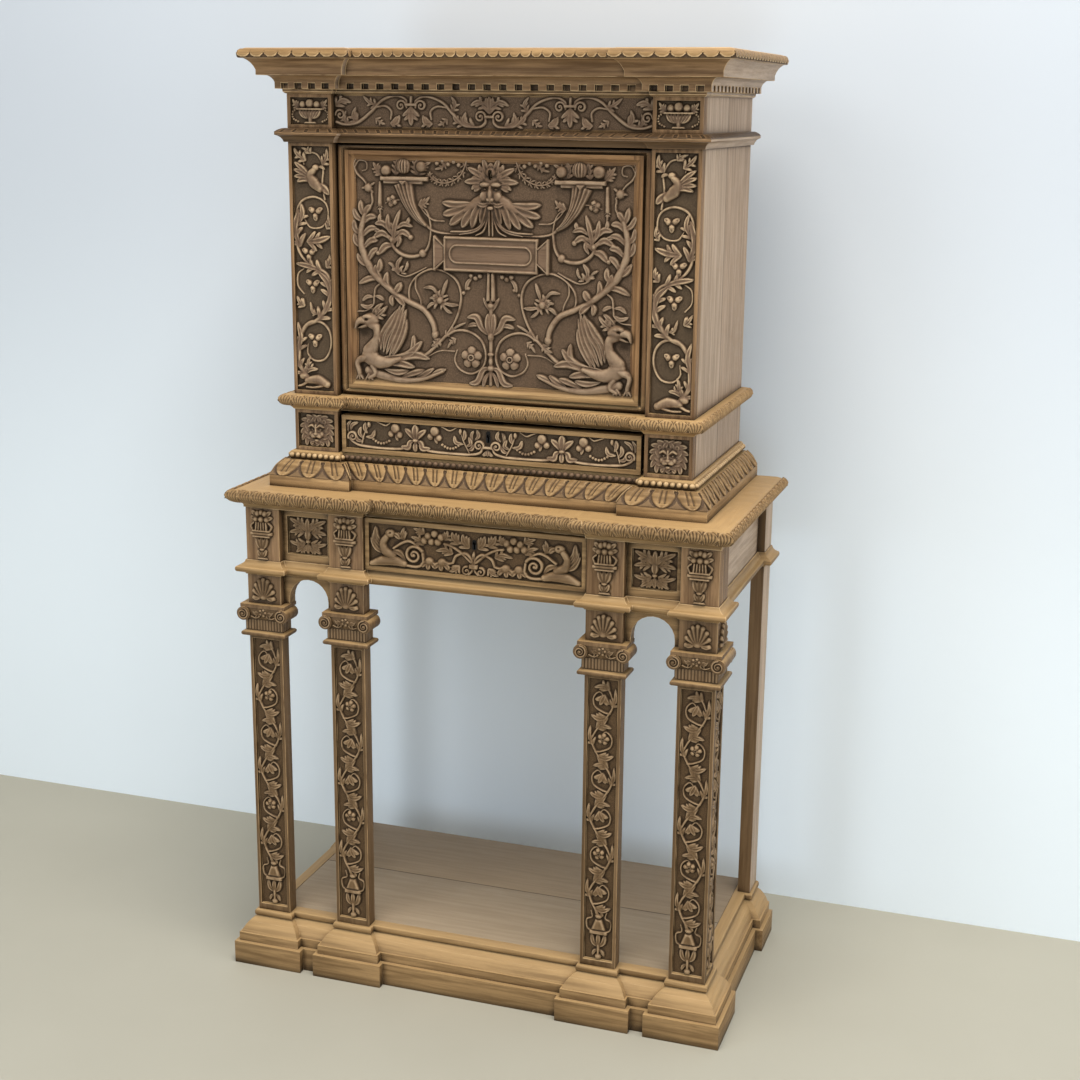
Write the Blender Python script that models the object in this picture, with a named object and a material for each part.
"""Carved fall-front cabinet on a stand with four square pillars.

Metres, +Z up. The floor is z = 0, the front looks along -Y and the flat back is at +Y.
Every height is a sum of the tiers below, and every moulding is one profile of
(distance out from the face that carries it, height) swept round a break-front plan.
"""

import math

import bmesh
import bpy
from mathutils import Matrix, Vector

# Clearances
GAP = 0.0003
MITRE_GAP = 0.0005

# Heights of the tiers of the stand, from the floor up
PLINTH_BLOCK_HEIGHT = 0.043
PLINTH_FASCIA_HEIGHT = 0.017
PLINTH_SLOPE_HEIGHT = 0.027
PLINTH_COLLAR_HEIGHT = 0.013
SHAFT_HEIGHT = 0.541
CAPITAL_RING_HEIGHT = 0.010
CAPITAL_NECK_HEIGHT = 0.022
CAPITAL_SCROLL_HEIGHT = 0.029
SHELL_BLOCK_HEIGHT = 0.053
FRIEZE_MOULDING_HEIGHT = 0.027
STAND_FRIEZE_HEIGHT = 0.096
STAND_TOP_HEIGHT = 0.034

# Heights of the tiers of the cabinet, from the stand's top up
BASE_FILLET_HEIGHT = 0.018
BASE_LEAF_HEIGHT = 0.027
BASE_BEAD_HEIGHT = 0.017
DRAWER_TIER_HEIGHT = 0.073
WAIST_HEIGHT = 0.028
FALL_TIER_HEIGHT = 0.432
NECK_HEIGHT = 0.023
UPPER_FRIEZE_HEIGHT = 0.057
CORNICE_HEIGHT = 0.073

# Plan of the stand
BACK_Y = 0.235
POST_FACE_Y = -0.200
STAND_HALF_WIDTH = 0.430
POST_WIDTH = 0.065
POST_DEPTH = 0.065
POST_BOARD = 0.026
BAY_WIDTH = 0.0965
BAY_RECESS = 0.014
SIDE_RECESS = 0.014
REAR_POST_WIDTH = 0.024
REAR_POST_DEPTH = 0.060
STAND_TOP_RECESS = 0.012
STAND_BOARD = 0.018

# Plan of the cabinet
BODY_INSET = 0.068
STILE_FACE_Y = -0.131
STILE_WIDTH = 0.0825
STILE_THICKNESS = 0.022
FRONT_RECESS = 0.014
SIDE_BOARD = 0.018
BACK_BOARD = 0.012
TOP_BOARD = 0.018
BOTTOM_BOARD = 0.018

# How far the mouldings stand out
PLINTH_OUT = 0.035
FASCIA_OUT = 0.028
SLOPE_OUT = 0.025
COLLAR_OUT = 0.006
FRIEZE_MOULDING_OUT = 0.0167
STAND_TOP_OUT = 0.0235
BASE_OUT = 0.036
BASE_BEAD_OUT = 0.0085
WAIST_OUT = 0.020
NECK_OUT = 0.0174
DENTIL_OUT = 0.015
CORONA_OUT = 0.038
CORNICE_OUT = 0.060
THIN_EDGE = 0.002
LEDGE_RISE = 0.0002

# Dentils
DENTIL_PITCH = 0.0265
DENTIL_NOTCH = 0.013
DENTIL_BACK = 0.0065

# Pillars, capitals and arches
PANEL_BORDER = 0.006
PANEL_SINK = 0.006
CAPITAL_OUT = 0.011
VOLUTE_RADIUS = 0.0125
VOLUTE_BESIDE = 0.005
VOLUTE_FORWARD = 0.013
ARCH_FOOT = 0.010
ARCH_CROWN_DROP = 0.005
BAY_BOARD = 0.022
LEAF_FIELD_BORDER = 0.009
LEAF_FIELD_SINK = 0.007

# Plinth frame and shelf
PLINTH_WALL = 0.030
PLINTH_LEDGE = 0.015
SHELF_THICKNESS = 0.022
SHELF_SEAM_Y = 0.035
PLINTH_BACK_RAIL = 0.025

# Fall front
FALL_SIDE_GAP = 0.0045
FALL_TOP_GAP = 0.004
FALL_BOTTOM_GAP = 0.0015
FALL_THICKNESS = 0.022
FALL_STILE = 0.021
FALL_TOP_RAIL = 0.017
FALL_BOTTOM_RAIL = 0.0215
FALL_FLAT = 0.006
FALL_PANEL_SINK = 0.009
FALL_REBATE = 0.006
FALL_AXIS_IN = 0.010
FRIEZE_BOARD = 0.032
CLOSING_LIP = 0.008
PIVOT_RADIUS = 0.004
PIVOT_REACH = 0.012
STAY_RADIUS = 0.150
STAY_WIDTH = 0.012
STAY_THICKNESS = 0.004
STAY_INSET = 0.009
STAY_PALM = 0.024
STOP_RADIUS = 0.004
STOP_OVERLAP = 0.007

# Drawers
DRAWER_FRONT = 0.022
DRAWER_SIDE = 0.010
DRAWER_BACK = 0.010
DRAWER_BOTTOM = 0.006
BOTTOM_RAISE = 0.008
GROOVE = 0.004
TAIL_LENGTH = 0.012
TAIL_FLARE = 0.003
FIELD_SINK = 0.006
FIELD_BORDER = 0.0075
GUIDE_WIDTH = 0.018
GUIDE_HEIGHT = 0.012
RUN_CLEARANCE = 0.0012
UPPER_DRAWER_RECESS = 0.003
UPPER_DRAWER_SIDE_GAP = 0.0065
UPPER_DRAWER_TOP_GAP = 0.006
UPPER_DRAWER_LENGTH = 0.310
UPPER_TAIL_COUNT = 2
STAND_DRAWER_RECESS = 0.005
STAND_DRAWER_SIDE_GAP = 0.002
STAND_DRAWER_TOP_GAP = 0.002
STAND_DRAWER_LENGTH = 0.350
STAND_TAIL_COUNT = 3

# Locks
LOCK_WIDTH = 0.050
LOCK_THICKNESS = 0.008
LOCK_BELOW_KEY = 0.016
BOLT_WIDTH = 0.020
BOLT_THICKNESS = 0.003
BOLT_TRAVEL = 0.010
KEYHOLE_RADIUS = 0.0032
KEYHOLE_SLOT = 0.0026
KEYHOLE_LENGTH = 0.011
FALL_KEY_DROP = 0.039
UPPER_KEY_DROP = 0.021
STAND_KEY_DROP = 0.029

# Heights worked out from the tiers
FASCIA_Z = PLINTH_BLOCK_HEIGHT
SLOPE_Z = FASCIA_Z + PLINTH_FASCIA_HEIGHT
COLLAR_Z = SLOPE_Z + PLINTH_SLOPE_HEIGHT
PLINTH_TOP_Z = COLLAR_Z + PLINTH_COLLAR_HEIGHT
CAPITAL_Z = PLINTH_TOP_Z + SHAFT_HEIGHT
NECKING_Z = CAPITAL_Z + CAPITAL_RING_HEIGHT
SCROLL_Z = NECKING_Z + CAPITAL_NECK_HEIGHT
SHELL_Z = SCROLL_Z + CAPITAL_SCROLL_HEIGHT
FRIEZE_MOULDING_Z = SHELL_Z + SHELL_BLOCK_HEIGHT
STAND_FRIEZE_Z = FRIEZE_MOULDING_Z + FRIEZE_MOULDING_HEIGHT
STAND_TOP_Z = STAND_FRIEZE_Z + STAND_FRIEZE_HEIGHT
CABINET_Z = STAND_TOP_Z + STAND_TOP_HEIGHT
LEAF_Z = CABINET_Z + BASE_FILLET_HEIGHT
BEAD_Z = LEAF_Z + BASE_LEAF_HEIGHT
DRAWER_TIER_Z = BEAD_Z + BASE_BEAD_HEIGHT
WAIST_Z = DRAWER_TIER_Z + DRAWER_TIER_HEIGHT
FALL_TIER_Z = WAIST_Z + WAIST_HEIGHT
NECK_Z = FALL_TIER_Z + FALL_TIER_HEIGHT
UPPER_FRIEZE_Z = NECK_Z + NECK_HEIGHT
CORNICE_Z = UPPER_FRIEZE_Z + UPPER_FRIEZE_HEIGHT
TOP_Z = CORNICE_Z + CORNICE_HEIGHT
CEILING_Z = TOP_Z - TOP_BOARD
SHELF_UNDER_Z = PLINTH_TOP_Z - SHELF_THICKNESS

# Lines of the plan worked out from the sizes above
OUTER_POST_X = STAND_HALF_WIDTH - POST_WIDTH / 2
INNER_POST_X = OUTER_POST_X - POST_WIDTH - BAY_WIDTH
POST_BACK_Y = POST_FACE_Y + POST_DEPTH
BAY_Y = POST_FACE_Y + BAY_RECESS
REAR_POST_FACE_Y = BACK_Y - REAR_POST_DEPTH
APRON_X = STAND_HALF_WIDTH - SIDE_RECESS
DRAWER_BAY_X = INNER_POST_X - POST_WIDTH / 2
BODY_HALF_WIDTH = STAND_HALF_WIDTH - BODY_INSET
OPENING_X = BODY_HALF_WIDTH - STILE_WIDTH
FRONT_Y = STILE_FACE_Y + FRONT_RECESS
STILE_BACK_Y = STILE_FACE_Y + STILE_THICKNESS
INSIDE_X = BODY_HALF_WIDTH - SIDE_BOARD
INSIDE_BACK_Y = BACK_Y - BACK_BOARD
FALL_X = OPENING_X - FALL_SIDE_GAP
FALL_BOTTOM_Z = FALL_TIER_Z + FALL_BOTTOM_GAP
FALL_TOP_Z = NECK_Z - FALL_TOP_GAP
FALL_BACK_Y = FRONT_Y + FALL_THICKNESS
FALL_AXIS = Vector((0, FRONT_Y + FALL_AXIS_IN, FALL_BOTTOM_Z + FALL_AXIS_IN))

ROUND_STEPS = 24
CURVE_STEPS = 4

PARTS = "carved_cabinet"
CUTTERS = "carved_cabinet_cutters"


def clear_scene():
    for old in list(bpy.data.objects):
        bpy.data.objects.remove(old)
    for name in (PARTS, CUTTERS):
        collection = bpy.data.collections.new(name)
        bpy.context.scene.collection.children.link(collection)
    bpy.data.collections[CUTTERS].hide_render = True


def make_material(name, colour, roughness, metallic=0.0):
    material = bpy.data.materials.new(name)
    material.use_nodes = True
    shader = material.node_tree.nodes["Principled BSDF"]
    shader.inputs["Base Color"].default_value = (*colour, 1.0)
    shader.inputs["Roughness"].default_value = roughness
    shader.inputs["Metallic"].default_value = metallic
    return material


def make_object(name, bm, material):
    """Turns a bmesh into a part, or into a hidden cutter where it has no material."""
    bmesh.ops.recalc_face_normals(bm, faces=bm.faces)
    mesh = bpy.data.meshes.new(name)
    bm.to_mesh(mesh)
    bm.free()
    obj = bpy.data.objects.new(name, mesh)
    if material is None:
        bpy.data.collections[CUTTERS].objects.link(obj)
        obj.hide_render = True
        obj.display_type = "WIRE"
    else:
        bpy.data.collections[PARTS].objects.link(obj)
        mesh.materials.append(bpy.data.materials[material])
    return obj


def add_box(bm, x, y, z):
    """A box between (low, high) pairs along each axis."""
    low, high = (Vector(ends) for ends in zip(x, y, z))
    size = Matrix.Diagonal((*(high - low), 1))
    bmesh.ops.create_cube(bm, size=1, matrix=Matrix.Translation((low + high) / 2) @ size)


def box(name, x, y, z, material=None):
    bm = bmesh.new()
    add_box(bm, x, y, z)
    return make_object(name, bm, material)


def prism(name, outline, axis, ends, material=None):
    """A flat outline pushed along an axis. Its points are the two other coordinates in order."""
    bm = bmesh.new()
    corners = []
    for first, second in outline:
        point = [first, second]
        point.insert("XYZ".index(axis), ends[0])
        corners.append(bm.verts.new(point))
    made = bmesh.ops.extrude_face_region(bm, geom=[bm.faces.new(corners)])
    moved = [item for item in made["geom"] if isinstance(item, bmesh.types.BMVert)]
    push = Vector((0, 0, 0))
    push["XYZ".index(axis)] = ends[1] - ends[0]
    bmesh.ops.translate(bm, verts=moved, vec=push)
    return make_object(name, bm, material)


def rod(name, radius, start, end, material=None):
    """A round bar from start to end."""
    start, end = Vector(start), Vector(end)
    turn = Vector((0, 0, 1)).rotation_difference(end - start).to_matrix().to_4x4()
    bm = bmesh.new()
    bmesh.ops.create_cone(
        bm,
        cap_ends=True,
        segments=ROUND_STEPS,
        radius1=radius,
        radius2=radius,
        depth=(end - start).length,
        matrix=Matrix.Translation((start + end) / 2) @ turn,
    )
    obj = make_object(name, bm, material)
    obj.data.shade_smooth()
    obj.data.set_sharp_from_angle(angle=math.radians(40))
    return obj


def loft(name, levels, material=None):
    """Plan outlines with the same number of points, each with its height, joined into one solid."""
    bm = bmesh.new()
    rings = [[bm.verts.new((*point, z)) for point in outline] for outline, z in levels]
    for low, high in zip(rings, rings[1:]):
        for i, corner in enumerate(low):
            bm.faces.new((low[i - 1], corner, high[i], high[i - 1]))
    bm.faces.new(rings[0])
    bm.faces.new(rings[-1])
    return make_object(name, bm, material)


def combine(target, other, operation):
    modifier = target.modifiers.new(other.name, "BOOLEAN")
    modifier.operation = operation
    modifier.solver = "EXACT"
    modifier.object = other


def cut(target, *cutters):
    for cutter in cutters:
        combine(target, cutter, "DIFFERENCE")


def fuse(target, *pieces):
    for piece in pieces:
        combine(target, piece, "UNION")


def mirrored(outline):
    return [(-x, y) for x, y in reversed(outline)]


def sided(side, low, high):
    """A range of x on the right side, or the same range on the left."""
    return (low, high) if side > 0 else (-high, -low)


def side_name(side):
    return "right" if side > 0 else "left"


class Profile:
    """A moulding's section, from its lowest point up, as (out, height) points."""

    def __init__(self, out, height):
        self.points = [(out, height)]

    def line(self, out, height):
        self.points.append((out, height))
        return self

    def ledge(self, out):
        """A step in or out that is level but for a trace of slope."""
        return self.line(out, self.points[-1][1] + LEDGE_RISE)

    def curve(self, out, height, swell):
        """A bend to the point: swell 1 is a full round, 0 a straight chamfer and -1 a full hollow."""
        start, end = Vector(self.points[-1]), Vector((out, height))
        middle = (start + end) / 2
        corner = Vector((max(start.x, end.x), end.y if start.x > end.x else start.y))
        if swell < 0:
            corner = start + end - corner
        pull = middle.lerp(corner, abs(swell))
        for step in range(1, CURVE_STEPS + 1):
            t = step / CURVE_STEPS
            point = start * (1 - t) ** 2 + pull * 2 * t * (1 - t) + end * t**2
            self.points.append(tuple(point))
        return self


def offset_path(path, out, before, after):
    """The path moved outwards with mitred corners. Before and after lie past its two ends."""
    points = [Vector(point) for point in (before, *path, after)]
    moved = []
    for a, b, c in zip(points, points[1:], points[2:]):
        first, second = (b - a).normalized(), (c - b).normalized()
        normals = Vector((first.y, -first.x)) + Vector((second.y, -second.x))
        moved.append(tuple(b + normals * (2 * out / normals.length_squared)))
    return moved


def stand_front_path():
    """The stand's front at its posts and bays, from the centre to the right corner."""
    path = []
    for x in (INNER_POST_X, OUTER_POST_X):
        inner, outer = x - POST_WIDTH / 2, x + POST_WIDTH / 2
        path += [(inner, BAY_Y), (inner, POST_FACE_Y), (outer, POST_FACE_Y), (outer, BAY_Y)]
    return path[:-1]


def stand_side_path(start_y):
    return [
        (STAND_HALF_WIDTH, start_y),
        (STAND_HALF_WIDTH, POST_BACK_Y),
        (APRON_X, POST_BACK_Y),
        (APRON_X, REAR_POST_FACE_Y),
        (STAND_HALF_WIDTH, REAR_POST_FACE_Y),
        (STAND_HALF_WIDTH, BACK_Y),
    ]


def past_back(x):
    """A point straight behind the back, so that a path ends square there."""
    return (x, BACK_Y + POST_DEPTH)


def whole_path(half):
    """A path from the left back corner round the front to the right back corner."""
    return mirrored(half) + half


def around(half, out):
    width = half[-1][0]
    return offset_path(whole_path(half), out, past_back(-width), past_back(width))


def applied_moulding(name, half, profile):
    """A moulding glued round the front and sides, with its back against the faces of the plan."""
    inside = list(reversed(around(half, GAP)))
    levels = [(around(half, out) + inside, z) for out, z in profile.points]
    return loft(name, levels, "carved_wood")


def moulded_slab(name, half, profile):
    """A board whose front and side edges are moulded."""
    return loft(name, [(around(half, out), z) for out, z in profile.points], "carved_wood")


def stand_path():
    return stand_front_path() + stand_side_path(POST_FACE_Y)[1:]


def stand_top_path():
    recess = POST_FACE_Y + STAND_TOP_RECESS
    return [
        (DRAWER_BAY_X, recess),
        (DRAWER_BAY_X, POST_FACE_Y),
        (STAND_HALF_WIDTH, POST_FACE_Y),
        (STAND_HALF_WIDTH, BACK_Y),
    ]


def cabinet_path():
    return [
        (OPENING_X, FRONT_Y),
        (OPENING_X, STILE_FACE_Y),
        (BODY_HALF_WIDTH, STILE_FACE_Y),
        (BODY_HALF_WIDTH, BACK_Y),
    ]


def plinth_levels():
    """The plinth's section as (out, height, wall) points: the wall widens below the shelf's ledge."""
    profile = Profile(PLINTH_OUT, 0).line(PLINTH_OUT, FASCIA_Z).ledge(FASCIA_OUT)
    profile.line(FASCIA_OUT, SLOPE_Z).ledge(SLOPE_OUT).curve(THIN_EDGE, COLLAR_Z, 0.4)
    low_wall = PLINTH_WALL + PLINTH_LEDGE
    below = [(out, z, low_wall) for out, z in profile.points if z < SHELF_UNDER_Z]
    above = [(out, z, PLINTH_WALL) for out, z in profile.points if z > SHELF_UNDER_Z]
    share = (SHELF_UNDER_Z - below[-1][1]) / (above[0][1] - below[-1][1])
    out = below[-1][0] + share * (above[0][0] - below[-1][0])
    ledge = [(out, SHELF_UNDER_Z - LEDGE_RISE, low_wall), (out, SHELF_UNDER_Z, PLINTH_WALL)]
    collar = Profile(THIN_EDGE, COLLAR_Z).curve(COLLAR_OUT, COLLAR_Z + PLINTH_COLLAR_HEIGHT / 2, 1)
    collar.curve(THIN_EDGE, PLINTH_TOP_Z, 1)
    return below + ledge + above + [(out, z, PLINTH_WALL) for out, z in collar.points[1:]]


def make_plinth():
    half = stand_front_path()
    ends = (-STAND_HALF_WIDTH, BACK_Y), (STAND_HALF_WIDTH, BACK_Y)
    front, side = [], []
    side_path = stand_side_path(POST_FACE_Y + MITRE_GAP)
    side_start = (0, POST_FACE_Y + MITRE_GAP)
    for out, z, wall in plinth_levels():
        inner_x, inner_y = STAND_HALF_WIDTH - wall, POST_FACE_Y + wall
        outline = offset_path(whole_path(half), out, *ends)
        front.append((outline + [(inner_x, inner_y), (-inner_x, inner_y)], z))
        outline = offset_path(side_path, out, side_start, past_back(STAND_HALF_WIDTH))
        side.append((outline + [(inner_x, BACK_Y), (inner_x, inner_y + MITRE_GAP)], z))
    loft("plinth_front", front, "carved_wood")
    loft("plinth_right", side, "carved_wood")
    loft("plinth_left", [(mirrored(outline), z) for outline, z in side], "carved_wood")
    reach = STAND_HALF_WIDTH - PLINTH_WALL - PLINTH_LEDGE - GAP
    rail = (BACK_Y - PLINTH_BACK_RAIL, BACK_Y)
    box("plinth_back", (-reach, reach), rail, (0, SHELF_UNDER_Z - GAP), "plain_wood")


def make_shelf():
    reach = STAND_HALF_WIDTH - PLINTH_WALL - GAP
    z = (SHELF_UNDER_Z + GAP, PLINTH_TOP_Z - GAP)
    front = (POST_FACE_Y + PLINTH_WALL + GAP, SHELF_SEAM_Y - GAP / 2)
    rear = (SHELF_SEAM_Y + GAP / 2, BACK_Y)
    box("shelf_board_front", (-reach, reach), front, z, "plain_wood")
    box("shelf_board_rear", (-reach, reach), rear, z, "plain_wood")


def post_outline(x, outer_side):
    """A pillar's plan: a board across the front and, at a corner, a second one down the outer side."""
    reach = abs(x) if outer_side else x
    left, right = reach - POST_WIDTH / 2, reach + POST_WIDTH / 2
    board_back = POST_FACE_Y + POST_BOARD
    if not outer_side:
        return [(left, POST_FACE_Y), (right, POST_FACE_Y), (right, board_back), (left, board_back)]
    corner = [
        (left, POST_FACE_Y),
        (right, POST_FACE_Y),
        (right, POST_BACK_Y),
        (right - POST_BOARD, POST_BACK_Y),
        (right - POST_BOARD, board_back),
        (left, board_back),
    ]
    return corner if outer_side > 0 else mirrored(corner)


def grown(outline, out):
    """A closed outline moved outwards all round."""
    return offset_path(outline, out, outline[-1], outline[0])


def make_post(name, x, outer_side):
    """A built-up pillar with a sunk panel on its shaft, and on the shaft's outer side at a corner."""
    post_z = (PLINTH_TOP_Z + GAP, STAND_TOP_Z - GAP)
    post = prism(name, post_outline(x, outer_side), "Z", post_z, "carved_wood")
    panel_z = (PLINTH_TOP_Z + 2 * PANEL_BORDER, CAPITAL_Z - PANEL_BORDER)
    panel_x = (x - POST_WIDTH / 2 + PANEL_BORDER, x + POST_WIDTH / 2 - PANEL_BORDER)
    panel_y = (POST_FACE_Y - PANEL_SINK, POST_FACE_Y + PANEL_SINK)
    cut(post, box(name + "_panel", panel_x, panel_y, panel_z))
    if outer_side:
        side_x = (STAND_HALF_WIDTH - PANEL_SINK, STAND_HALF_WIDTH + PANEL_SINK)
        side_y = (POST_FACE_Y + 2 * PANEL_BORDER, POST_BACK_Y - PANEL_BORDER)
        cut(post, box(name + "_side_panel", sided(outer_side, *side_x), side_y, panel_z))


def make_capital(name, x, outer_side):
    """A collar round the post: ring, plain neck, and a cushion with scrolled volutes under a slab."""
    ring_half = CAPITAL_RING_HEIGHT / 2
    slab = CAPITAL_SCROLL_HEIGHT / 4
    neck = CAPITAL_OUT / 3
    profile = Profile(neck, CAPITAL_Z).curve(CAPITAL_OUT, CAPITAL_Z + ring_half, 1)
    profile.curve(neck, NECKING_Z, 1).line(neck, SCROLL_Z)
    profile.curve(CAPITAL_OUT - neck / 2, SHELL_Z - slab, 0.6).ledge(CAPITAL_OUT)
    profile.line(CAPITAL_OUT, SHELL_Z - GAP)
    outline = post_outline(x, outer_side)
    capital = loft(name, [(grown(outline, out), z) for out, z in profile.points], "carved_wood")
    eye_z = SHELL_Z - slab - VOLUTE_RADIUS * 0.9
    for side, label in ((-1, "a"), (1, "b")):
        beside = x + side * (POST_WIDTH / 2 + VOLUTE_BESIDE)
        back = POST_BACK_Y if side == outer_side else POST_FACE_Y + POST_BOARD
        ends = (POST_FACE_Y - VOLUTE_FORWARD, back + CAPITAL_OUT / 2)
        fuse(capital, rod(f"{name}_scroll_{label}", VOLUTE_RADIUS, *((beside, y, eye_z) for y in ends)))
    if outer_side:
        start = outer_side * (STAND_HALF_WIDTH - POST_BOARD / 2)
        end = outer_side * (STAND_HALF_WIDTH + VOLUTE_FORWARD)
        y = POST_BACK_Y - VOLUTE_RADIUS / 2
        fuse(capital, rod(f"{name}_scroll_c", VOLUTE_RADIUS, (start, y, eye_z), (end, y, eye_z)))
    hole_z = (CAPITAL_Z - POST_WIDTH, SHELL_Z + POST_WIDTH)
    cut(capital, prism(name + "_hole", grown(outline, GAP), "Z", hole_z))


def make_posts():
    places = (
        ("outer_left", -OUTER_POST_X, -1),
        ("inner_left", -INNER_POST_X, 0),
        ("inner_right", INNER_POST_X, 0),
        ("outer_right", OUTER_POST_X, 1),
    )
    for label, x, outer_side in places:
        make_post("post_" + label, x, outer_side)
        make_capital("capital_" + label, x, outer_side)


def arc(centre, radius, start, end, steps):
    """Points on an arc between two angles in degrees."""
    points = []
    for step in range(steps + 1):
        angle = math.radians(start + (end - start) * step / steps)
        points.append((centre[0] + radius * math.cos(angle), centre[1] + radius * math.sin(angle)))
    return points


def make_arch_panel(side):
    """A board between a pair of posts: an arch below and a sunk leaf panel above."""
    name = "arch_panel_" + side_name(side)
    left = INNER_POST_X + POST_WIDTH / 2 + GAP
    right = OUTER_POST_X - POST_WIDTH / 2 - GAP
    middle = (left + right) / 2
    half_arch = (right - left) / 2 - ARCH_FOOT
    spring_z = FRIEZE_MOULDING_Z - ARCH_CROWN_DROP - half_arch
    outline = [(left, SHELL_Z), (middle - half_arch, SHELL_Z)]
    outline += arc((middle, spring_z), half_arch, 180, 0, ROUND_STEPS // 2)
    outline += [(middle + half_arch, SHELL_Z), (right, SHELL_Z)]
    outline += [(right, STAND_TOP_Z - GAP), (left, STAND_TOP_Z - GAP)]
    outline = [(side * x, z) for x, z in outline]
    board = prism(name, outline, "Y", (BAY_Y, BAY_Y + BAY_BOARD), "carved_wood")
    field_x = sided(side, left + LEAF_FIELD_BORDER, right - LEAF_FIELD_BORDER)
    field_y = (BAY_Y - LEAF_FIELD_SINK, BAY_Y + LEAF_FIELD_SINK)
    field_z = (STAND_FRIEZE_Z + 1.5 * LEAF_FIELD_BORDER, STAND_TOP_Z - 1.5 * LEAF_FIELD_BORDER)
    cut(board, box(name + "_field", field_x, field_y, field_z))


def make_stand_carcase():
    leg_z = (PLINTH_TOP_Z + GAP, STAND_TOP_Z - GAP)
    apron_z = (FRIEZE_MOULDING_Z + THIN_EDGE, STAND_TOP_Z - GAP)
    for side in (-1, 1):
        make_arch_panel(side)
        label = side_name(side)
        leg_x = sided(side, STAND_HALF_WIDTH - REAR_POST_WIDTH, STAND_HALF_WIDTH)
        box("rear_post_" + label, leg_x, (REAR_POST_FACE_Y, BACK_Y), leg_z, "plain_wood")
        apron_x = sided(side, APRON_X - STAND_BOARD, APRON_X)
        apron_y = (POST_BACK_Y + GAP, REAR_POST_FACE_Y - GAP)
        box("apron_" + label, apron_x, apron_y, apron_z, "plain_wood")
    reach = STAND_HALF_WIDTH - REAR_POST_WIDTH - GAP
    box("apron_back", (-reach, reach), (BACK_Y - STAND_BOARD, BACK_Y), apron_z, "plain_wood")
    rail_reach = DRAWER_BAY_X - GAP
    rail_y = (BAY_Y, POST_BACK_Y)
    rail_z = (FRIEZE_MOULDING_Z + THIN_EDGE, STAND_FRIEZE_Z - GAP)
    box("drawer_rail", (-rail_reach, rail_reach), rail_y, rail_z, "plain_wood")
    make_dust_board()
    bead_z = FRIEZE_MOULDING_Z + FRIEZE_MOULDING_HEIGHT * 0.43
    profile = Profile(THIN_EDGE, FRIEZE_MOULDING_Z)
    profile.curve(FRIEZE_MOULDING_OUT * 0.75, FRIEZE_MOULDING_Z + FRIEZE_MOULDING_HEIGHT * 0.22, -0.7)
    profile.curve(FRIEZE_MOULDING_OUT, bead_z, 1)
    profile.curve(FRIEZE_MOULDING_OUT * 0.75, FRIEZE_MOULDING_Z + FRIEZE_MOULDING_HEIGHT * 0.6, 1)
    profile.curve(THIN_EDGE, STAND_FRIEZE_Z, -0.6)
    applied_moulding("frieze_moulding", stand_path(), profile)


def stand_drawer_box_x():
    return DRAWER_BAY_X - STAND_DRAWER_SIDE_GAP - RUN_CLEARANCE


def make_dust_board():
    """The board that the stand's drawer runs on, with a guide strip along each side of it."""
    reach = APRON_X - STAND_BOARD - GAP
    y = (POST_BACK_Y + GAP, BACK_Y - STAND_BOARD - GAP)
    z = (STAND_FRIEZE_Z - STAND_BOARD, STAND_FRIEZE_Z - GAP)
    board = box("dust_board", (-reach, reach), y, z, "drawer_wood")
    add_guides(board, stand_drawer_box_x(), y, z[1])


def add_guides(board, drawer_x, y, top):
    start = drawer_x + RUN_CLEARANCE
    for side in (-1, 1):
        x = sided(side, start, start + GUIDE_WIDTH)
        z = (top - GUIDE_HEIGHT, top + GUIDE_HEIGHT)
        fuse(board, box(f"{board.name}_guide_{side_name(side)}", x, y, z))


def make_stand_top():
    under = STAND_TOP_OUT * 0.11
    profile = Profile(under, STAND_TOP_Z).line(under, STAND_TOP_Z + STAND_TOP_HEIGHT * 0.12)
    profile.curve(STAND_TOP_OUT * 0.43, STAND_TOP_Z + STAND_TOP_HEIGHT * 0.32, -0.5)
    profile.curve(STAND_TOP_OUT, STAND_TOP_Z + STAND_TOP_HEIGHT * 0.68, 0.55)
    profile.curve(STAND_TOP_OUT * 0.25, CABINET_Z, 0.7)
    top = moulded_slab("stand_top", stand_top_path(), profile)
    back_y = POST_FACE_Y + STAND_DRAWER_RECESS + DRAWER_FRONT
    cut(top, bolt_mortise("stand_top_mortise", back_y, STAND_TOP_Z))


def make_cabinet_carcase():
    low, high = CABINET_Z + GAP, CEILING_Z - GAP
    for side in (-1, 1):
        x = sided(side, INSIDE_X, BODY_HALF_WIDTH)
        box("side_" + side_name(side), x, (STILE_BACK_Y + GAP, BACK_Y), (low, high), "plain_wood")
        make_stile(side, low, high)
    inside = INSIDE_X - GAP
    box("cabinet_back", (-inside, inside), (INSIDE_BACK_Y, BACK_Y), (low, high), "plain_wood")
    bottom = inner_board("cabinet_bottom", DRAWER_TIER_Z - BOTTOM_BOARD, DRAWER_TIER_Z)
    add_guides(bottom, upper_drawer_box_x(), (STILE_BACK_Y + GAP, INSIDE_BACK_Y - GAP), DRAWER_TIER_Z)
    waist = inner_board("waist_board", WAIST_Z, FALL_TIER_Z)
    back_y = STILE_FACE_Y + UPPER_DRAWER_RECESS + DRAWER_FRONT
    cut(waist, bolt_mortise("waist_mortise", back_y, WAIST_Z))
    prism("top_board", whole_path(cabinet_path()), "Z", (CEILING_Z, TOP_Z), "plain_wood")
    make_frieze_board(high)


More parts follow.
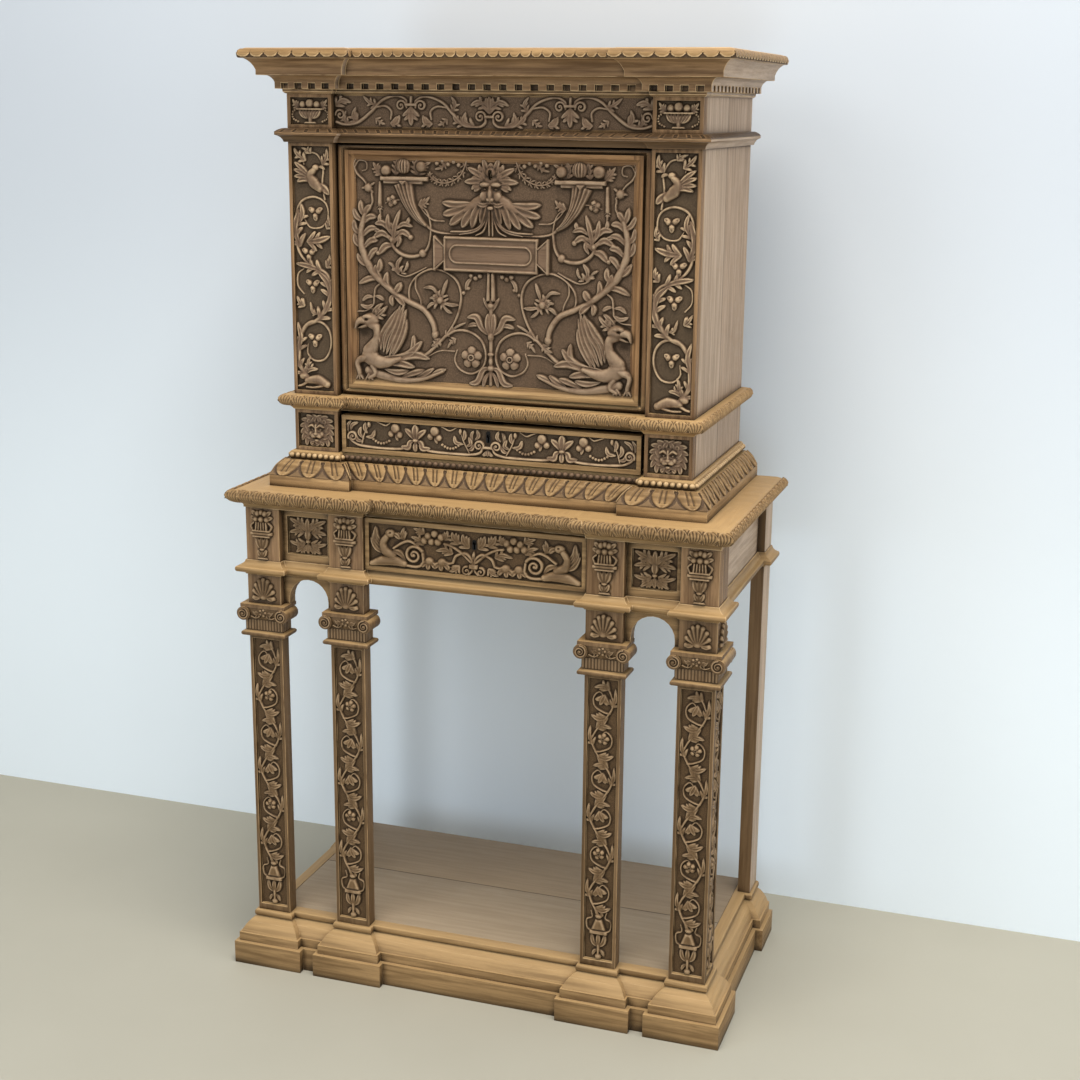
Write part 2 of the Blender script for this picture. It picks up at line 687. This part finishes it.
def inner_board(name, low, high):
    """A level board between the sides, notched at its front corners round the stiles."""
    half = [
        (OPENING_X - GAP, FRONT_Y),
        (OPENING_X - GAP, STILE_BACK_Y + GAP),
        (INSIDE_X - GAP, STILE_BACK_Y + GAP),
        (INSIDE_X - GAP, INSIDE_BACK_Y - GAP),
    ]
    return prism(name, whole_path(half), "Z", (low, high), "plain_wood")


def make_stile(side, low, high):
    """A front stile the full height of the cabinet, with a sunk panel at each of its three tiers."""
    name = "stile_" + side_name(side)
    x = sided(side, OPENING_X, BODY_HALF_WIDTH)
    stile = box(name, x, (STILE_FACE_Y, STILE_BACK_Y), (low, high), "carved_wood")
    tiers = ((DRAWER_TIER_Z, WAIST_Z), (FALL_TIER_Z, NECK_Z), (UPPER_FRIEZE_Z, CORNICE_Z))
    field_x = (x[0] + PANEL_BORDER, x[1] - PANEL_BORDER)
    field_y = (STILE_FACE_Y - PANEL_SINK, STILE_FACE_Y + PANEL_SINK)
    for number, (bottom, top) in enumerate(tiers):
        field_z = (bottom + PANEL_BORDER, top - PANEL_BORDER)
        cut(stile, box(f"{name}_field_{number}", field_x, field_y, field_z))
    reach = side * (OPENING_X + PIVOT_REACH + GAP)
    cut(stile, pivot_hole(name + "_pivot_hole", side * (OPENING_X - PIVOT_REACH), reach))


def make_frieze_board(high):
    """The board over the fall front, with a lip behind the fall that it shuts against."""
    lip_y = FALL_BACK_Y + GAP
    back_y = FRONT_Y + FRIEZE_BOARD
    lip_z = FALL_TOP_Z - CLOSING_LIP
    section = [(FRONT_Y, NECK_Z), (lip_y, NECK_Z), (lip_y, lip_z), (back_y, lip_z)]
    section += [(back_y, high), (FRONT_Y, high)]
    reach = OPENING_X - GAP
    board = prism("frieze_board", section, "X", (-reach, reach), "carved_wood")
    cut(board, bolt_mortise("frieze_mortise", FALL_BACK_Y, NECK_Z))


def make_cabinet_mouldings():
    path = cabinet_path()
    profile = Profile(BASE_OUT, CABINET_Z).line(BASE_OUT, LEAF_Z)
    profile.curve(BASE_BEAD_OUT * 1.6, BEAD_Z, 0.3).ledge(BASE_BEAD_OUT * 0.7)
    profile.curve(BASE_BEAD_OUT, (BEAD_Z + DRAWER_TIER_Z) / 2, 1)
    profile.curve(THIN_EDGE, DRAWER_TIER_Z - GAP, 1)
    applied_moulding("base_moulding", path, profile)

    profile = Profile(THIN_EDGE, WAIST_Z)
    profile.curve(WAIST_OUT * 0.65, WAIST_Z + WAIST_HEIGHT * 0.32, -0.5)
    profile.curve(WAIST_OUT, WAIST_Z + WAIST_HEIGHT * 0.62, 0.8)
    profile.curve(WAIST_OUT * 0.5, FALL_TIER_Z - GAP, 0.8)
    applied_moulding("waist_moulding", path, profile)

    profile = Profile(NECK_OUT * 0.32, NECK_Z)
    profile.curve(NECK_OUT, NECK_Z + NECK_HEIGHT * 0.52, -0.6)
    profile.line(NECK_OUT, NECK_Z + NECK_HEIGHT * 0.65).curve(THIN_EDGE, UPPER_FRIEZE_Z, 0.4)
    applied_moulding("neck_moulding", path, profile)
    make_cornice(path)


def make_cornice(path):
    """Dentil band, corona and a carved lip, mitred round the breaks over the stiles."""
    fillet_z = CORNICE_Z + CORNICE_HEIGHT * 0.04
    dentil_z = CORNICE_Z + CORNICE_HEIGHT * 0.10
    bed_z = CORNICE_Z + CORNICE_HEIGHT * 0.25
    soffit_z = CORNICE_Z + CORNICE_HEIGHT * 0.40
    cyma_z = CORNICE_Z + CORNICE_HEIGHT * 0.52
    lip_z = CORNICE_Z + CORNICE_HEIGHT * 0.77
    fillet_out = DENTIL_BACK - THIN_EDGE / 2
    cyma_out = (CORONA_OUT + 3 * CORNICE_OUT) / 4 - THIN_EDGE
    profile = Profile(THIN_EDGE, CORNICE_Z).line(fillet_out, fillet_z).line(fillet_out, dentil_z)
    profile.ledge(DENTIL_OUT).line(DENTIL_OUT, bed_z)
    profile.curve(CORONA_OUT * 0.65, soffit_z, -0.5).ledge(CORONA_OUT)
    profile.line(CORONA_OUT, cyma_z).curve(cyma_out, lip_z, -0.4)
    profile.ledge(CORNICE_OUT - THIN_EDGE).curve(CORNICE_OUT, lip_z + CORNICE_HEIGHT * 0.08, 1)
    profile.curve(CORNICE_OUT * 0.8, TOP_Z, 0.7)
    cornice = applied_moulding("cornice", path, profile)
    cut(cornice, dentil_notches((fillet_z, bed_z - THIN_EDGE / 2)))


def notch_centres(start, end):
    """Middles of the notches between two ends, with a dentil standing at each end."""
    run = end - start
    count = max(1, round((run - DENTIL_NOTCH) / DENTIL_PITCH))
    dentil = (run - count * DENTIL_NOTCH) / (count + 1)
    first = start + dentil + DENTIL_NOTCH / 2
    return [first + i * (dentil + DENTIL_NOTCH) for i in range(count)]


def dentil_notches(z):
    """All the notches that leave the dentils standing, as one cutter."""
    bm = bmesh.new()
    wing = DENTIL_NOTCH / 2
    beyond = 2 * DENTIL_OUT
    inner_end = OPENING_X - DENTIL_OUT
    for x in notch_centres(-inner_end, inner_end):
        add_box(bm, (x - wing, x + wing), (FRONT_Y - beyond, FRONT_Y - DENTIL_BACK), z)
    for side in (-1, 1):
        for x in notch_centres(inner_end, BODY_HALF_WIDTH + DENTIL_OUT):
            ends = sided(side, x - wing, x + wing)
            add_box(bm, ends, (STILE_FACE_Y - beyond, STILE_FACE_Y - DENTIL_BACK), z)
        for y in notch_centres(STILE_FACE_Y - DENTIL_OUT, BACK_Y):
            ends = sided(side, BODY_HALF_WIDTH + DENTIL_BACK, BODY_HALF_WIDTH + beyond)
            add_box(bm, ends, (y - wing, y + wing), z)
    return make_object("dentil_notches", bm, None)


def pivot_hole(name, start, end):
    y, z = FALL_AXIS.y, FALL_AXIS.z
    return rod(name, PIVOT_RADIUS + GAP, (start, y, z), (end, y, z))


def keyhole(name, y, z):
    """A round eye with a slot below it."""
    half = KEYHOLE_SLOT / 2
    meet = math.degrees(math.acos(half / KEYHOLE_RADIUS))
    outline = arc((0, z), KEYHOLE_RADIUS, 180 + meet, -meet, ROUND_STEPS // 2)
    outline += [(half, z - KEYHOLE_LENGTH), (-half, z - KEYHOLE_LENGTH)]
    return prism(name, outline, "Y", y)


def bolt_y(back_y):
    """The bolt lies in the middle of the lock's thickness."""
    middle = back_y - LOCK_THICKNESS / 2
    return (middle - BOLT_THICKNESS / 2, middle + BOLT_THICKNESS / 2)


def bolt_mortise(name, back_y, under_z):
    near, far = bolt_y(back_y)
    half = BOLT_WIDTH / 2 + 2 * GAP
    z = (under_z - BOLT_TRAVEL, under_z + BOLT_TRAVEL)
    return box(name, (-half, half), (near - 2 * GAP, far + 2 * GAP), z)


def lock_pocket(name, back_y, top_z, key_drop):
    half = LOCK_WIDTH / 2
    low = top_z - key_drop - LOCK_BELOW_KEY
    y = (back_y - LOCK_THICKNESS, back_y + LOCK_THICKNESS)
    return box(name, (-half, half), y, (low, top_z + LOCK_WIDTH))


def make_lock(name, back_y, top_z, key_drop):
    """An iron lock case let in flush with the back, and the bolt that slides up out of its slot."""
    half = LOCK_WIDTH / 2 - GAP
    low = top_z - key_drop - LOCK_BELOW_KEY + GAP
    y = (back_y - LOCK_THICKNESS + GAP, back_y - GAP)
    case = box(name + "_lock", (-half, half), y, (low, top_z - GAP), "iron")
    near, far = bolt_y(back_y)
    bolt_low = top_z - key_drop
    slot = BOLT_WIDTH / 2 + GAP
    slot_z = (bolt_low - GAP, top_z + LOCK_WIDTH)
    cut(case, box(name + "_lock_slot", (-slot, slot), (near - GAP, far + GAP), slot_z))
    bolt_x = (-BOLT_WIDTH / 2, BOLT_WIDTH / 2)
    bolt = box(name + "_bolt", bolt_x, (near, far), (bolt_low, top_z - GAP), "iron")
    return case, bolt


def make_fall():
    """The fall front: a moulded frame round one panel, hung on two pins, with two quadrant stays."""
    pull = FALL_AXIS_IN
    axis = (FALL_AXIS.y, FALL_AXIS.z)
    section = arc(axis, pull, 180, 360, ROUND_STEPS // 2)
    section += [(FALL_BACK_Y, axis[1] + pull / 2), (FALL_BACK_Y, FALL_TOP_Z), (FRONT_Y, FALL_TOP_Z)]
    frame = prism("fall_frame", section, "X", (-FALL_X, FALL_X), "carved_wood")
    cut(frame, fall_opening(), fall_rebate())
    for side in (-1, 1):
        label = side_name(side)
        start, end = side * (FALL_X - PIVOT_REACH - GAP), side * (FALL_X + PIVOT_REACH)
        cut(frame, pivot_hole(f"fall_pivot_hole_{label}", start, end))
    cut(frame, lock_pocket("fall_lock_notch", FALL_BACK_Y, FALL_TOP_Z, FALL_KEY_DROP))
    panel = make_fall_panel()
    lock, bolt = make_lock("fall", FALL_BACK_Y, FALL_TOP_Z, FALL_KEY_DROP)
    moving = [frame, panel, lock]
    for side in (-1, 1):
        label = side_name(side)
        reach = (side * (FALL_X - PIVOT_REACH), side * (OPENING_X + PIVOT_REACH))
        points = [(x, FALL_AXIS.y, FALL_AXIS.z) for x in reach]
        rod("pivot_" + label, PIVOT_RADIUS, *points, "iron")
        moving.append(make_stay(side))
    return moving, bolt


def fall_field():
    """The panel's sight size as (x, low z, high z)."""
    return FALL_X - FALL_STILE, FALL_BOTTOM_Z + FALL_BOTTOM_RAIL, FALL_TOP_Z - FALL_TOP_RAIL


def fall_opening():
    """The moulded inner edge of the fall's frame, as a cutter that narrows towards the panel."""
    x, low, high = fall_field()
    flare = FALL_STILE - FALL_FLAT
    panel_y = FRONT_Y + FALL_PANEL_SINK
    quirk_y = FRONT_Y + FALL_PANEL_SINK * 0.2
    profile = Profile(flare, -(FRONT_Y - GAP)).line(flare, -quirk_y)
    profile.line(flare * 0.9, -(quirk_y + LEDGE_RISE))
    profile.curve(flare * 0.15, -(panel_y - THIN_EDGE / 2), 0.8).line(0, -panel_y)
    profile.line(0, -(FALL_BACK_Y + GAP))
    levels = []
    for out, y in profile.points:
        top = min(out, FALL_TOP_RAIL - FALL_FLAT / 2)
        wide, bottom = x + out, low - out
        outline = [(-wide, bottom), (wide, bottom), (wide, high + top), (-wide, high + top)]
        levels.append((outline, y))
    cutter = loft("fall_opening", levels)
    cutter.data.transform(Matrix.Rotation(math.radians(90), 4, "X"))
    return cutter


def fall_rebate():
    x, low, high = fall_field()
    y = (FRONT_Y + FALL_PANEL_SINK, FALL_BACK_Y + FALL_THICKNESS)
    wide = (-x - FALL_REBATE, x + FALL_REBATE)
    return box("fall_rebate", wide, y, (low - FALL_REBATE, high + FALL_REBATE))


def make_fall_panel():
    x, low, high = fall_field()
    reach = FALL_REBATE - GAP
    y = (FRONT_Y + FALL_PANEL_SINK + GAP, FALL_BACK_Y)
    wide = (-x - reach, x + reach)
    panel = box("fall_panel", wide, y, (low - reach, high + reach), "carved_wood")
    key_z = FALL_TOP_Z - FALL_KEY_DROP
    cut(panel, lock_pocket("fall_panel_lock_pocket", FALL_BACK_Y, FALL_TOP_Z, FALL_KEY_DROP))
    cut(panel, keyhole("fall_keyhole", (FRONT_Y, FALL_BACK_Y), key_z))
    return panel


def make_stay(side):
    """A quarter ring about the fall's axis, with a palm on the fall and a stop behind the stile."""
    name = "stay_" + side_name(side)
    back = FALL_BACK_Y + GAP - FALL_AXIS.y
    outer, inner = STAY_RADIUS + STAY_WIDTH / 2, STAY_RADIUS - STAY_WIDTH / 2
    stop_in = STILE_BACK_Y + STOP_RADIUS + GAP - FALL_AXIS.y
    tail = -math.degrees(math.asin(stop_in / STAY_RADIUS))
    tail_end = tail - math.degrees(STOP_RADIUS / STAY_RADIUS)
    palm = STAY_THICKNESS
    outer_end = math.degrees(math.acos((back + palm) / outer))
    inner_end = math.degrees(math.acos(back / inner))
    outline = arc((0, 0), outer, tail_end, outer_end, ROUND_STEPS // 2)
    palm_top = outline[-1][1] + STAY_PALM
    outline += [(back + palm, palm_top), (back, palm_top)]
    outline += arc((0, 0), inner, inner_end, tail_end, ROUND_STEPS // 2)
    outline = [(FALL_AXIS.y + y, FALL_AXIS.z + z) for y, z in outline]
    x = FALL_X - STAY_INSET
    near, far = sided(side, x - STAY_THICKNESS / 2, x + STAY_THICKNESS / 2)
    stay = prism(name, outline, "X", (near, far), "brass")
    angle = math.radians(tail)
    y = FALL_AXIS.y + STAY_RADIUS * math.cos(angle)
    z = FALL_AXIS.z + STAY_RADIUS * math.sin(angle)
    reach = (side * x, side * (OPENING_X + STOP_OVERLAP))
    fuse(stay, rod(name + "_stop", STOP_RADIUS, *((end, y, z) for end in reach)))
    return stay


def upper_drawer_box_x():
    return OPENING_X - UPPER_DRAWER_SIDE_GAP - RUN_CLEARANCE


def tail_outlines(back_y, low, high, count, grow):
    """The dovetails' side view, grown all round by a clearance."""
    pitch = (high - low) / count
    outlines = []
    for i in range(count):
        z = low + pitch * (i + 0.5)
        root, tip = pitch / 4 + grow, pitch / 4 + TAIL_FLARE + grow
        start, end = back_y + grow, back_y - TAIL_LENGTH - grow
        outlines.append([(start, z - root), (end, z - tip), (end, z + tip), (start, z + root)])
    return outlines


def make_drawer(name, front_x, box_x, face_y, z, length, tails, key_drop):
    """A dovetailed drawer: a front with a sunk carved field, two sides, a back, a bottom and a lock."""
    low, high = z
    back_y = face_y + DRAWER_FRONT
    end_y = back_y + length
    front = box(name + "_front", (-front_x, front_x), (face_y, back_y), z, "carved_wood")
    field_x = front_x - FIELD_BORDER
    field_y = (face_y - FIELD_SINK, face_y + FIELD_SINK)
    field_z = (low + FIELD_BORDER, high - FIELD_BORDER)
    cut(front, box(name + "_field", (-field_x, field_x), field_y, field_z))
    cut(front, lock_pocket(name + "_lock_pocket", back_y, high, key_drop))
    cut(front, keyhole(name + "_keyhole", (face_y, back_y), high - key_drop))
    inside_x = box_x - DRAWER_SIDE
    side_z = (low - RUN_CLEARANCE + GAP, high - RUN_CLEARANCE)
    floor_z = (low + BOTTOM_RAISE, low + BOTTOM_RAISE + DRAWER_BOTTOM)
    groove_x = inside_x + GROOVE
    groove_z = (floor_z[0] - GAP, floor_z[1] + GAP)
    groove_y = (back_y - GROOVE, back_y + GROOVE)
    cut(front, box(name + "_front_groove", (-groove_x, groove_x), groove_y, groove_z))
    moving = [front]
    for side in (-1, 1):
        label = f"{name}_{side_name(side)}"
        for number, outline in enumerate(tail_outlines(back_y, low, high, tails, GAP)):
            ends = sided(side, inside_x - GAP, front_x + DRAWER_SIDE)
            cut(front, prism(f"{label}_socket_{number}", outline, "X", ends))
        root = back_y + GAP
        outline = [(root, side_z[0]), (end_y, side_z[0]), (end_y, side_z[1]), (root, side_z[1])]
        for tail in reversed(tail_outlines(back_y, low, high, tails, 0)):
            outline += [(root, tail[3][1]), tail[2], tail[1], (root, tail[0][1])]
        board = prism(label, outline, "X", sided(side, inside_x, box_x), "drawer_wood")
        groove_ends = sided(side, inside_x - GROOVE, groove_x)
        groove_run = (face_y, end_y + GROOVE)
        cut(board, box(label + "_groove", groove_ends, groove_run, groove_z))
        moving.append(board)
    back_x = inside_x - GAP
    back_z = (floor_z[1] + GAP, side_z[1])
    back_end = (end_y - DRAWER_BACK, end_y)
    moving.append(box(name + "_back", (-back_x, back_x), back_end, back_z, "drawer_wood"))
    bottom_x = groove_x - GAP
    bottom_y = (back_y - GROOVE + GAP, end_y)
    moving.append(box(name + "_bottom", (-bottom_x, bottom_x), bottom_y, floor_z, "drawer_wood"))
    lock, bolt = make_lock(name, back_y, high, key_drop)
    moving.append(lock)
    return moving, bolt


def make_upper_drawer():
    return make_drawer(
        "upper_drawer",
        OPENING_X - UPPER_DRAWER_SIDE_GAP,
        upper_drawer_box_x(),
        STILE_FACE_Y + UPPER_DRAWER_RECESS,
        (DRAWER_TIER_Z + RUN_CLEARANCE, WAIST_Z - UPPER_DRAWER_TOP_GAP),
        UPPER_DRAWER_LENGTH,
        UPPER_TAIL_COUNT,
        UPPER_KEY_DROP,
    )


def make_stand_drawer():
    return make_drawer(
        "stand_drawer",
        DRAWER_BAY_X - STAND_DRAWER_SIDE_GAP,
        stand_drawer_box_x(),
        POST_FACE_Y + STAND_DRAWER_RECESS,
        (STAND_FRIEZE_Z + RUN_CLEARANCE, STAND_TOP_Z - STAND_DRAWER_TOP_GAP),
        STAND_DRAWER_LENGTH,
        STAND_TAIL_COUNT,
        STAND_KEY_DROP,
    )


def hang_on(name, place, pieces, parent=None):
    """Parents the pieces of a moving body to an empty on its joint, where they stand."""
    empty = bpy.data.objects.new(name, None)
    bpy.data.collections[PARTS].objects.link(empty)
    empty.location = place
    bpy.context.view_layer.update()
    for piece in pieces:
        piece.parent = empty
        piece.matrix_parent_inverse = empty.matrix_world.inverted()
    if parent is not None:
        empty.parent = parent
        empty.matrix_parent_inverse = parent.matrix_world.inverted()
    return empty


def main():
    clear_scene()
    make_material("carved_wood", (0.30, 0.18, 0.09), 0.5)
    make_material("plain_wood", (0.36, 0.25, 0.15), 0.6)
    make_material("drawer_wood", (0.45, 0.33, 0.20), 0.7)
    make_material("iron", (0.10, 0.09, 0.08), 0.5, 1.0)
    make_material("brass", (0.55, 0.40, 0.16), 0.35, 1.0)
    make_plinth()
    make_shelf()
    make_posts()
    make_stand_carcase()
    make_stand_top()
    make_cabinet_carcase()
    make_cabinet_mouldings()
    fall, fall_bolt = make_fall()
    fall_joint = hang_on("fall_joint", FALL_AXIS, fall)
    hang_on("fall_bolt_joint", (0, FALL_BACK_Y, FALL_TOP_Z), [fall_bolt], fall_joint)
    upper, upper_bolt = make_upper_drawer()
    place = (0, STILE_FACE_Y, DRAWER_TIER_Z)
    upper_joint = hang_on("upper_drawer_joint", place, upper)
    hang_on("upper_drawer_bolt_joint", (0, STILE_BACK_Y, WAIST_Z), [upper_bolt], upper_joint)
    lower, lower_bolt = make_stand_drawer()
    place = (0, POST_FACE_Y, STAND_FRIEZE_Z)
    lower_joint = hang_on("stand_drawer_joint", place, lower)
    hang_on("stand_drawer_bolt_joint", (0, BAY_Y, STAND_TOP_Z), [lower_bolt], lower_joint)


main()
